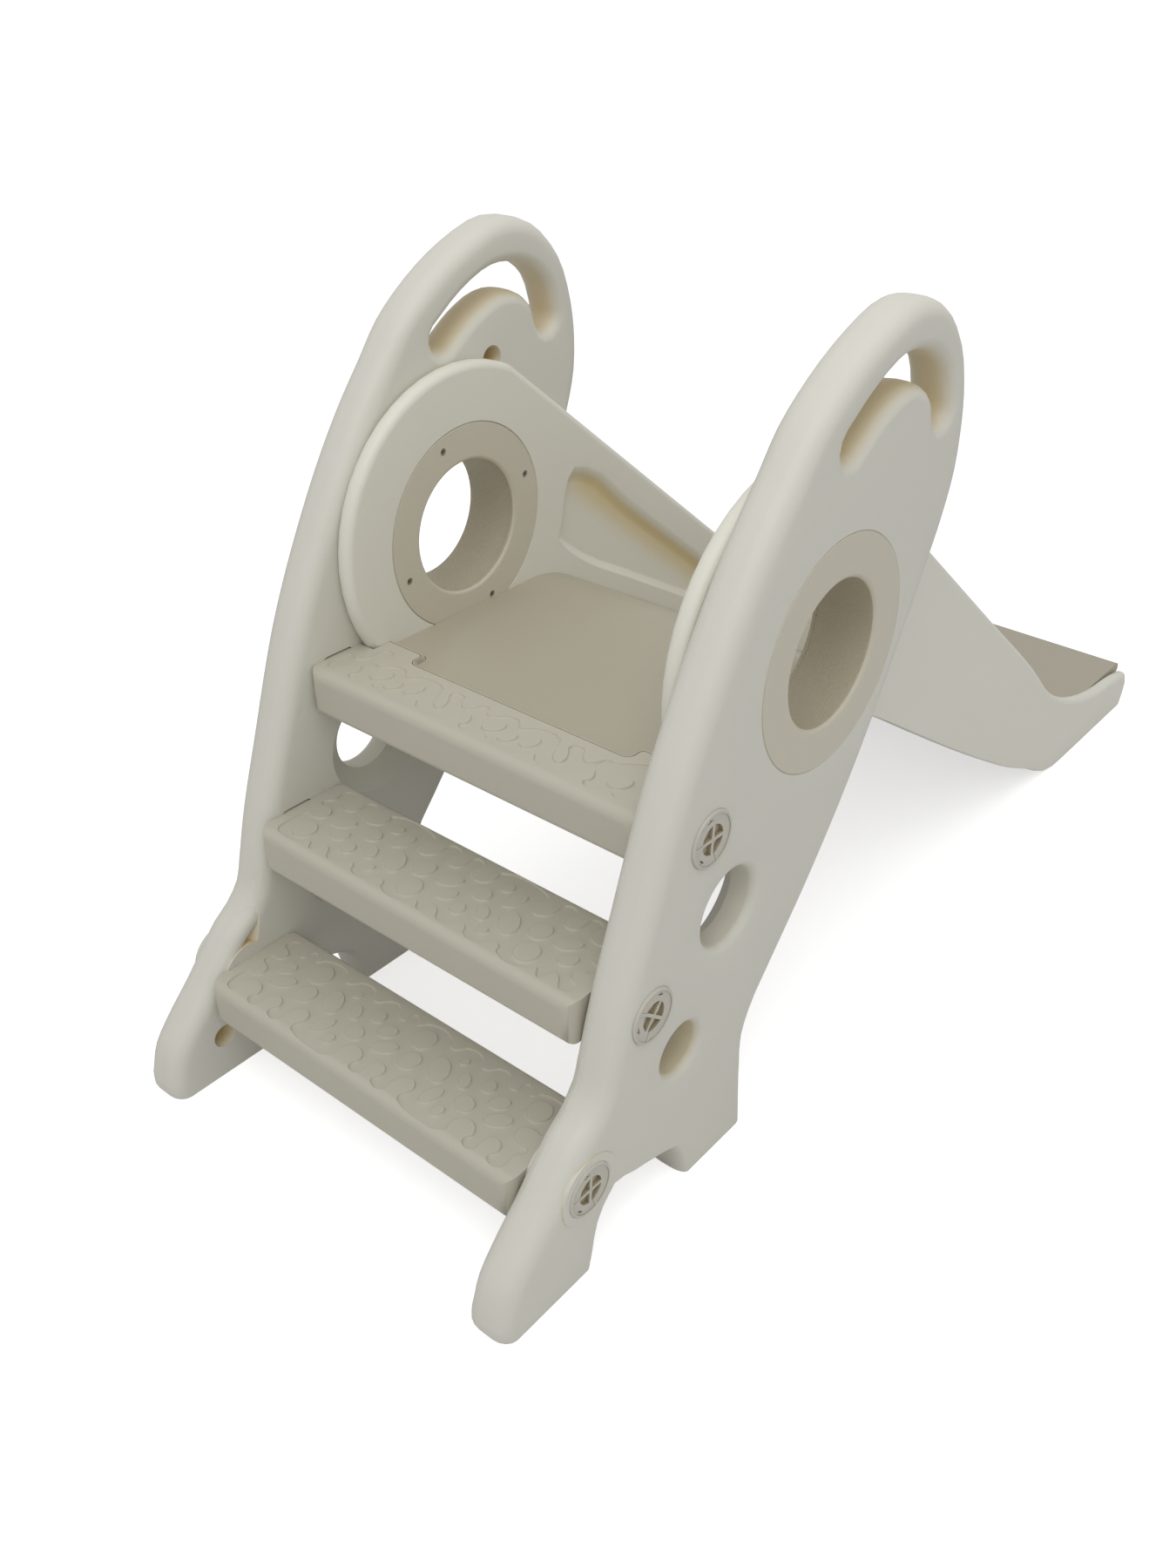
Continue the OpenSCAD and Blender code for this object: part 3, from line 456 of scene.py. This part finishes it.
TOP_LEFT_END = (
    (186, 86), (194, 85), (197, 79), (197, 68), (200, 57), (205, 51.5), (210, 49.5), (216, 53),
    (220.5, 54), (222, 50), (222, 26), (219, 22),
)
TOP_RIGHT_END = tuple((-y, d) for y, d in TOP_LEFT_END[::-1])
# The last stretch of the back edge, where it meets the left end
TOP_LAST = ((163, 62), (171, 55), (178, 53.5), (184, 58), (182, 70), (181, 80))
TOP_EDGE = (
    TOP_LEFT_END + repeated(TOP_FRONT_EDGE, low=-214, high=214)
    + TOP_RIGHT_END + repeated(TOP_BACK_EDGE, low=-150, high=162)[::-1] + TOP_LAST
)
TOP_FIELD_PEBBLES = repeated(TOP_PEBBLES, low=-200, high=200)

# The deck's front as the tread meets it: how far each part is from the hub's axis, in millimetres
TONGUE_OUT = 183.6
FINGER_OUT = 165.1
TONGUE_HALF = 154.0
TONGUE_CORNER = 7.0
# The seam lies this far off the deck's edge, and ends this far from the slide's middle
SEAM_BACK = 2.2
SEAM_END = 212.0
# The seam's half width in metres, and how many times deeper it is
SEAM_WIDTH = 0.0007
SEAM_DEPTH = 4.0


def quarter(out_to, aside, radius, start, turn):
    """Seven points round a quarter circle, from one angle by equal turns."""
    angles = [math.radians(start + turn * k) for k in range(7)]
    return [(out_to + radius * math.cos(a), aside + radius * math.sin(a)) for a in angles]


def seam_points(tread_drop):
    """Points on the tread along its opening for the deck, from the middle out to one end."""
    outer, inner = TONGUE_CORNER + SEAM_BACK, TONGUE_CORNER - SEAM_BACK
    ring = [(TONGUE_OUT + SEAM_BACK, 0.0)]
    ring += quarter(TONGUE_OUT - TONGUE_CORNER, TONGUE_HALF - TONGUE_CORNER, outer, 0, 15)
    ring += quarter(FINGER_OUT + TONGUE_CORNER, TONGUE_HALF + TONGUE_CORNER, inner, -90, -15)
    ring.append((FINGER_OUT + SEAM_BACK, SEAM_END))
    return [(-math.sqrt(r * r - tread_drop * tread_drop) / 1000.0, y / 1000.0) for r, y in ring]


def cut_seam(step, top):
    """A fine groove along the edge of the tread's opening for the deck."""
    half = seam_points((HUB_AXIS.z - top) * 1000.0)
    route = [(x, -y) for x, y in reversed(half)] + half[1:]
    drawing = bpy.data.curves.new("seam", "CURVE")
    drawing.dimensions = "3D"
    drawing.bevel_depth = SEAM_WIDTH
    drawing.bevel_resolution = 1
    drawing.use_fill_caps = True
    line = drawing.splines.new("POLY")
    line.points.add(len(route) - 1)
    for knot, (x, y) in zip(line.points, route):
        knot.co = (HUB_AXIS.x + x, y, 0.0, 1.0)
    carve(step, from_drawing(drawing, top, SEAM_DEPTH))


greige = moulded_plastic("greige polyethylene", GREIGE, GREIGE_PAINTED_SHADE, GREIGE_GLOSS, GREIGE_REACH)
for level in ("bottom", "middle", "top"):
    node = "step_" + level
    step = from_cad(node, "tread_" + level)
    low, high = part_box(node)
    if level == "top":
        sink_field(step, TOP_EDGE, TOP_FIELD_PEBBLES, low[0], high[2])
        cut_seam(step, high[2])
    else:
        sink_field(step, FULL_EDGE, FULL_PEBBLES, low[0], high[2], level == "middle")
    smoothed(step, STEP_CREASE, greige)
    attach(step, "ladder")
    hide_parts(node)

# The locks. Six quarter-turn locks in a paler greige hold the steps' tenons in the panels. Each is
# one moulding with a round flat head, a thin rim, and a pit with two crossed bars in its middle to
# turn it by.
LOCK_COLOUR = (0.55, 0.53, 0.46, 1.0)
# The dark tan that the locks are painted as shade in their pits, slots and creases
LOCK_PAINTED_SHADE = (0.36, 0.30, 0.19, 1.0)
LOCK_REACH = 0.02
# Each lock's step, its place from the hub's axis, and how far the pattern on its head is turned
LOCKS = (
    ("bottom", (-0.370, -0.446), 38.0), ("middle", (-0.277, -0.2815), 0.0),
    ("top", (-0.195, -0.117), 38.0),
)
# A cutter runs this far past the face that it cuts
PAST_FACE = 0.002
# Radius and depth of the face inside the rim, and of the pit in its middle
LOCK_FACE = (0.0277, 0.0008)
LOCK_PIT = (0.0165, 0.0050)
# The plug that fills the solid's plain grips: its radius, and its two depths under the head
LOCK_PLUG = (0.0255, 0.0045, 0.0003)
# The crossed bars' length, their width, and how deep their root is under the pit's floor
LOCK_BAR = (0.034, 0.0038, 0.0005)
# Which way each bar lies, and how far its top stands over the face: no two tops in one plane
LOCK_BARS = ((50.0, 0.00005), (140.0, 0.00014))
# The two short ribs: how far out, their length, half their height, and which way each lies
LOCK_RIB = (0.0222, 0.0115, 0.0005)
RIB_TURNS = (142.0, 250.0)
# The turning marks are short slots with a foot: how far out the slot and, past it, the foot are
MARK_OUT = 0.0236
FOOT_OUT = 0.0010
# The slot's length, the foot's, and the width and depth of both
MARK_LONG = 0.0080
MARK_FOOT = 0.0034
MARK_WIDE = 0.0014
MARK_DEEP = 0.003
MARK_TURNS = (66.0, 188.0)


def bar_tool(place, turn, middle, length, width, near, far):
    """A flat bar in a lock's head, set along a line from its middle."""
    a = math.radians(turn)
    bpy.ops.object.select_all(action="DESELECT")
    bpy.ops.mesh.primitive_cube_add(
        size=1.0,
        location=(
            HUB_AXIS.x + place[0] + middle * math.cos(a), (near + far) / 2,
            HUB_AXIS.z + place[1] + middle * math.sin(a),
        ),
        rotation=(0.0, -a, 0.0), scale=(length, abs(far - near), width),
    )
    return bpy.context.object


def work_head(lock, place, turned, head, sign):
    """Sinks a lock's face and pit, sets its bars and ribs in, and cuts its turning marks."""
    sunk, pit_floor = head - sign * LOCK_FACE[1], head - sign * LOCK_PIT[1]
    over = head + sign * PAST_FACE
    radius, lowest, highest = LOCK_PLUG
    plug = round_tool(place, radius, head - sign * lowest, head - sign * highest)
    carve(lock, plug, "UNION")
    carve(lock, round_tool(place, LOCK_FACE[0], sunk, over))
    carve(lock, round_tool(place, LOCK_PIT[0], pit_floor, over))
    long, wide, root = LOCK_BAR
    for turn, proud in LOCK_BARS:
        ends = pit_floor - sign * root, sunk + sign * proud
        carve(lock, bar_tool(place, turned + turn, 0.0, long, wide, *ends), "UNION")
    out_to, long, high = LOCK_RIB
    for turn in RIB_TURNS:
        ends = sunk - sign * high, sunk + sign * high
        carve(lock, bar_tool(place, turned + turn, out_to, long, wide, *ends), "UNION")
    for turn in MARK_TURNS:
        a = math.radians(turned + turn)
        mark = (place[0] + MARK_OUT * math.cos(a), place[1] + MARK_OUT * math.sin(a))
        ends = sunk - sign * MARK_DEEP, over
        carve(lock, bar_tool(mark, turned + turn + 90, 0.0, MARK_LONG, MARK_WIDE, *ends))
        carve(lock, bar_tool(mark, turned + turn, FOOT_OUT, MARK_FOOT, MARK_WIDE, *ends))


lock_plastic = moulded_plastic("lock greige", LOCK_COLOUR, LOCK_PAINTED_SHADE, GREIGE_GLOSS, LOCK_REACH)
for side, sign in SIDES:
    for level, place, turned in LOCKS:
        node = "lock_" + side + "_" + level
        lock = from_cad(node, "step_lock_" + side + "_" + level)
        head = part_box(node)[1 if sign > 0 else 0][1]
        work_head(lock, place, turned, head, sign)
        smoothed(lock, CREASE, lock_plastic)
        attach(lock, node)
        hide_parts(node)

# The hubs. The outer half is a ring with a hollow barrel that the chute turns on, and the inner
# half is a flat ring screwed to it. Both are greige mouldings, and the window's wall has a fine
# diamond knurl and a darker greige painted on it as shade.
RING_CREASE = 40.0
# The groove where the inner ring meets the chute's ear
INNER_RING = 0.1213
# The knurl: how many diamonds go round, on what radius, and how deep
KNURL_ROUND = 130
KNURL_RADIUS = 0.078
KNURL_DEPTH = 0.00022
# The wall's painted shade and knurl stop this far outside the wall
KNURL_EDGE = 0.0006
HUB_COLOUR = (0.60, 0.563, 0.458, 1.0)
# The darker greige that the rings are painted as shade in their hollows and creases
HUB_PAINTED_SHADE = (0.47, 0.41, 0.28, 1.0)
# The window wall's colour is painted shade: a darker greige for the shade inside the window
WINDOW_WALL_PAINTED_SHADE = (0.445, 0.40, 0.293, 1.0)
knurled = moulded_plastic("knurled greige", HUB_COLOUR, HUB_PAINTED_SHADE, GREIGE_GLOSS, GREIGE_REACH)


def number(tree, operation, *values):
    """A sum on numbers and sockets in a material."""
    node = tree.nodes.new("ShaderNodeMath")
    node.operation = operation
    for taken, value in zip(node.inputs, values):
        if isinstance(value, (int, float)):
            taken.default_value = value
        else:
            tree.links.new(value, taken)
    return node.outputs[0]


def mix_in(material, colour, share):
    """Mixes another colour into a moulded plastic, by a share that changes over the surface."""
    nodes, links = material.node_tree.nodes, material.node_tree.links
    mix = nodes.new("ShaderNodeMix")
    mix.data_type = "RGBA"
    mix.inputs["B"].default_value = colour
    face = next(node for node in nodes if node.type == "GROUP")
    links.new(face.inputs["Colour"].links[0].from_socket, mix.inputs["A"])
    links.new(share, mix.inputs["Factor"])
    links.new(mix.outputs["Result"], face.inputs["Colour"])


def add_knurl(material):
    """Painted shade and a diamond pattern, as bump over the grain, on the window's wall."""
    tree = material.node_tree
    nodes, links = tree.nodes, tree.links
    where = nodes.new("ShaderNodeTexCoord").outputs["Object"]
    moved = nodes.new("ShaderNodeMapping")
    moved.inputs["Location"].default_value = -HUB_AXIS
    links.new(where, moved.inputs["Vector"])
    parts = nodes.new("ShaderNodeSeparateXYZ")
    links.new(moved.outputs[0], parts.inputs[0])
    turn = number(tree, "ARCTAN2", parts.outputs["Z"], parts.outputs["X"])
    round_way = number(tree, "MULTIPLY", turn, KNURL_ROUND)
    along = number(tree, "MULTIPLY", parts.outputs["Y"], KNURL_ROUND / KNURL_RADIUS)
    one = number(tree, "SINE", number(tree, "ADD", round_way, along))
    other = number(tree, "SINE", number(tree, "SUBTRACT", round_way, along))
    flat = nodes.new("ShaderNodeVectorMath")
    flat.operation = "MULTIPLY"
    flat.inputs[1].default_value = (1.0, 0.0, 1.0)
    links.new(moved.outputs[0], flat.inputs[0])
    size = nodes.new("ShaderNodeVectorMath")
    size.operation = "LENGTH"
    links.new(flat.outputs[0], size.inputs[0])
    inside = number(tree, "LESS_THAN", size.outputs["Value"], KNURL_RADIUS + KNURL_EDGE)
    mix_in(material, WINDOW_WALL_PAINTED_SHADE, inside)
    bump = nodes.new("ShaderNodeBump")
    bump.inputs["Distance"].default_value = KNURL_DEPTH
    higher = number(tree, "MAXIMUM", one, other)
    links.new(number(tree, "MULTIPLY", higher, inside), bump.inputs["Height"])
    shader = nodes["Principled BSDF"]
    links.new(shader.inputs["Normal"].links[0].from_socket, bump.inputs["Normal"])
    links.new(bump.outputs["Normal"], shader.inputs["Normal"])


add_knurl(knurled)
for side in ("left", "right"):
    for half in ("outer", "inner"):
        node = "hub_" + half + "_" + side
        ring = from_cad(node, "window_ring_" + half + "_" + side)
        outward = (side == "left") == (half == "outer")
        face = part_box(node)[1 if outward else 0][1]
        ring_groove(ring, OUTER_RING if half == "outer" else INNER_RING, face)
        smoothed(ring, RING_CREASE, knurled)
        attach(ring, "ladder")
        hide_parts(node)

# The hub screws. Zinc-plated pan heads with a cross recess hold the two halves of each hub
# together. They sit in round recesses in the inner half, four a side. The screws under the bed have
# the same plating.
ZINC = (0.36, 0.35, 0.33, 1.0)
# The dark colour that the screw heads are painted as shade in their recesses and crosses
ZINC_PAINTED_SHADE = (0.16, 0.15, 0.13, 1.0)
ZINC_GLOSS = 0.34
ZINC_REACH = 0.01
ZINC_GRAIN = (0.0006, 0.00001)
HUB_SCREW_RING = 0.105
HUB_SCREW_TURNS = (20.0, 110.0, 200.0, 290.0)
# The head lies this deep in a recess of this radius, and its cross has this length, width and depth
SCREW_RECESS = (0.0046, 0.0013)
SCREW_CROSS = (0.0042, 0.0010, 0.0026)
zinc = moulded_plastic("zinc plate", ZINC, ZINC_PAINTED_SHADE, ZINC_GLOSS, ZINC_REACH, *ZINC_GRAIN)
zinc.node_tree.nodes["Principled BSDF"].inputs["Metallic"].default_value = 1.0
for side, sign in SIDES:
    node = "hub_screws_" + side
    screws = from_cad(node, "hub_screw_heads_" + side)
    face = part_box(node)[0 if sign > 0 else 1][1]
    for screw_turn in HUB_SCREW_TURNS:
        a = math.radians(screw_turn)
        spot = (HUB_SCREW_RING * math.cos(a), HUB_SCREW_RING * math.sin(a))
        over = face - sign * PAST_FACE
        carve(screws, round_tool(spot, SCREW_RECESS[0], over, face + sign * SCREW_RECESS[1], 32))
        for cross_turn in (45.0, 135.0):
            long, wide, deep = SCREW_CROSS
            bar = bar_tool(spot, screw_turn + cross_turn, 0.0, long, wide, over, face + sign * deep)
            carve(screws, bar)
    smoothed(screws, CREASE, zinc)
    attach(screws, "ladder")
    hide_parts(node)
for side in ("left", "right"):
    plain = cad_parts["bed_screws_" + side]
    for slot in plain.material_slots:
        slot.material = zinc

# The chute's rails. Each is a cream blow moulding with a round ear that hangs on the hub's barrel,
# and a long hollow pressed into its inner face above the bed. Along the hollow's upper side a tan
# is painted on as shade, and the whole rail is painted a lighter cream than the panels, as light
# against the shade it stands in low down.
# The panels' cream painted about a tenth lighter: painted light against the shade low on the rails
RAIL_CREAM_PAINTED_LIGHT = (0.75, 0.735, 0.65, 1.0)
# The tan painted as shade along the hollow's deepest line
HOLLOW_PAINTED_SHADE = (0.70, 0.585, 0.34, 1.0)
# The hollow's deepest line: its start from the hub's axis, its slope, its length, half its width
HOLLOW_FROM = Vector((0.184, 0.0, 0.021))
HOLLOW_SLOPE = 38.4
HOLLOW_LONG = 0.58
HOLLOW_HALF = 0.040
# Where the rail's inner face is, and the depths where the painted shade starts, is full and stops
RAIL_INNER = 0.2099
SHADE_DEPTHS = (0.0005, 0.007, 0.0104)
# How far the painted shade takes to come and to go along the line
SHADE_COMES = (-0.02, 0.06)
SHADE_GOES = 0.12


def rail_cream():
    """Cream painted lighter than the panels', with painted shade along the hollow's deepest line.
    """
    made = moulded_plastic("rail cream", RAIL_CREAM_PAINTED_LIGHT, CREAM_PAINTED_SHADE, CREAM_GLOSS, CREAM_REACH)
    tree = made.node_tree
    nodes, links = tree.nodes, tree.links

    def faded(value, start, stop):
        node = nodes.new("ShaderNodeMapRange")
        node.interpolation_type = "SMOOTHSTEP"
        node.inputs["From Min"].default_value = start
        node.inputs["From Max"].default_value = stop
        links.new(value, node.inputs["Value"])
        return node.outputs["Result"]

    start = HUB_AXIS + HOLLOW_FROM
    turned = nodes.new("ShaderNodeVectorRotate")
    turned.rotation_type = "Y_AXIS"
    turned.inputs["Center"].default_value = start
    turned.inputs["Angle"].default_value = math.radians(-HOLLOW_SLOPE)
    links.new(nodes.new("ShaderNodeTexCoord").outputs["Object"], turned.inputs["Vector"])
    parts = nodes.new("ShaderNodeSeparateXYZ")
    links.new(turned.outputs[0], parts.inputs[0])
    along = number(tree, "SUBTRACT", parts.outputs["X"], start.x)
    aside = number(tree, "ABSOLUTE", number(tree, "SUBTRACT", parts.outputs["Z"], start.z))
    depth = number(tree, "SUBTRACT", number(tree, "ABSOLUTE", parts.outputs["Y"]), RAIL_INNER)
    hollow_shade_band = faded(aside, HOLLOW_HALF, 0.0)
    for share in (
        faded(depth, SHADE_DEPTHS[0], SHADE_DEPTHS[1]), number(tree, "LESS_THAN", depth, SHADE_DEPTHS[2]),
        faded(along, *SHADE_COMES), faded(along, HOLLOW_LONG, HOLLOW_LONG - SHADE_GOES),
    ):
        hollow_shade_band = number(tree, "MULTIPLY", hollow_shade_band, share)
    mix_in(made, HOLLOW_PAINTED_SHADE, hollow_shade_band)
    return made


rail_plastic = rail_cream()
for side in ("left", "right"):
    rail = from_cad("rail_" + side, "chute_rail_" + side)
    ring_groove(rail, INNER_RING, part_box("hub_inner_" + side)[0 if side == "left" else 1][1])
    smoothed(rail, CREASE, rail_plastic)
    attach(rail, "chute")
    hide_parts("rail_" + side)

# The slide bed. Deck, crest, slope and run-out are one greige moulding between the rails, screwed
# to their lugs from below.
BED_GREIGE = (0.43, 0.396, 0.306, 1.0)
# The darker greige that the bed is painted as shade in its creases
BED_PAINTED_SHADE = (0.40, 0.35, 0.24, 1.0)
bed = from_cad("chute_bed", "slide_bed")
bed_plastic = moulded_plastic("bed greige", BED_GREIGE, BED_PAINTED_SHADE, GREIGE_GLOSS, GREIGE_REACH)
smoothed(bed, CREASE, bed_plastic)
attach(bed, "chute")
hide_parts("chute_bed")

# The studio. A pale floor that runs out past the picture on every side, a pale room, and three
# large soft lamps: one overhead, one high at the ladder's side and a weak one at the chute's side.
# The camera looks down on the ladder from its front right corner, from where a grown-up stands.
FLOOR_SIZE = 70.0
FLOOR_GREY = 0.80
FLOOR_GLOW = 0.62
ROOM_LIGHT = 0.64
LENS = 32.58
CAMERA_AT = (-1.44887, -0.88721, 1.21801)
CAMERA_RIGHT = Vector((0.6335, -0.7736, 0.0132))
CAMERA_DOWN = Vector((-0.4206, -0.3586, -0.8334))
CAMERA_AHEAD = Vector((0.6494, 0.5224, -0.5526))
CAMERA_SHIFT = (-0.0066, 0.0119)
# Each lamp: its name, where it stands, where it points, its side in metres and its power in watts
LAMPS = (
    ("overhead", (-0.2, -0.3, 3.4), (-0.1, 0.0, 0.3), 3.2, 24.0),
    ("ladder_side", (-2.3, -1.1, 3.2), (-0.3, 0.0, 0.4), 2.4, 34.0),
    ("chute_side", (1.6, -3.2, 1.8), (0.0, 0.0, 0.3), 2.4, 3.0),
)

bpy.ops.mesh.primitive_plane_add(size=FLOOR_SIZE, location=(0.0, 0.0, 0.0))
floor = bpy.context.object
floor.name = "studio_floor"
paper = bpy.data.materials.new("pale floor")
paper.use_nodes = True
nodes, links = paper.node_tree.nodes, paper.node_tree.links
nodes.clear()
matt = nodes.new("ShaderNodeBsdfDiffuse")
matt.inputs["Color"].default_value = (FLOOR_GREY, FLOOR_GREY, FLOOR_GREY, 1.0)
glow = nodes.new("ShaderNodeEmission")
glow.inputs["Strength"].default_value = FLOOR_GLOW
both = nodes.new("ShaderNodeAddShader")
seen = nodes.new("ShaderNodeLightPath")
pick = nodes.new("ShaderNodeMixShader")
paper_out = nodes.new("ShaderNodeOutputMaterial")
links.new(matt.outputs[0], both.inputs[0])
links.new(glow.outputs[0], both.inputs[1])
links.new(seen.outputs["Is Camera Ray"], pick.inputs[0])
links.new(matt.outputs[0], pick.inputs[1])
links.new(both.outputs[0], pick.inputs[2])
links.new(pick.outputs[0], paper_out.inputs["Surface"])
floor.data.materials.append(paper)

room = bpy.data.worlds.new("pale room")
room.use_nodes = True
nodes, links = room.node_tree.nodes, room.node_tree.links
nodes.clear()
dome = nodes.new("ShaderNodeBackground")
dome.inputs["Strength"].default_value = ROOM_LIGHT
white = nodes.new("ShaderNodeBackground")
white.inputs["Strength"].default_value = 1.0
path = nodes.new("ShaderNodeLightPath")
either = nodes.new("ShaderNodeMath")
either.operation = "MAXIMUM"
any_sight = nodes.new("ShaderNodeMath")
any_sight.operation = "MAXIMUM"
choose = nodes.new("ShaderNodeMixShader")
room_out = nodes.new("ShaderNodeOutputWorld")
links.new(path.outputs["Is Camera Ray"], either.inputs[0])
links.new(path.outputs["Is Glossy Ray"], either.inputs[1])
links.new(either.outputs[0], any_sight.inputs[0])
links.new(path.outputs["Is Transmission Ray"], any_sight.inputs[1])
links.new(any_sight.outputs[0], choose.inputs[0])
links.new(dome.outputs[0], choose.inputs[1])
links.new(white.outputs[0], choose.inputs[2])
links.new(choose.outputs[0], room_out.inputs["Surface"])
bpy.context.scene.world = room

for name, place, aim, side, power in LAMPS:
    lamp_data = bpy.data.lights.new(name, "AREA")
    lamp_data.size = side
    lamp_data.energy = power
    lamp = bpy.data.objects.new(name, lamp_data)
    lamp.location = place
    lamp.rotation_euler = (Vector(aim) - Vector(place)).to_track_quat("-Z", "Y").to_euler()
    bpy.context.scene.collection.objects.link(lamp)

view = bpy.data.cameras.new("view")
view.lens = LENS
view.shift_x, view.shift_y = CAMERA_SHIFT
camera = bpy.data.objects.new("camera", view)
bpy.context.scene.collection.objects.link(camera)
facing = Matrix((CAMERA_RIGHT, -CAMERA_DOWN, -CAMERA_AHEAD)).transposed().to_4x4()
camera.matrix_world = Matrix.Translation(CAMERA_AT) @ facing
bpy.context.scene.camera = camera
bpy.context.scene.view_settings.view_transform = "Standard"
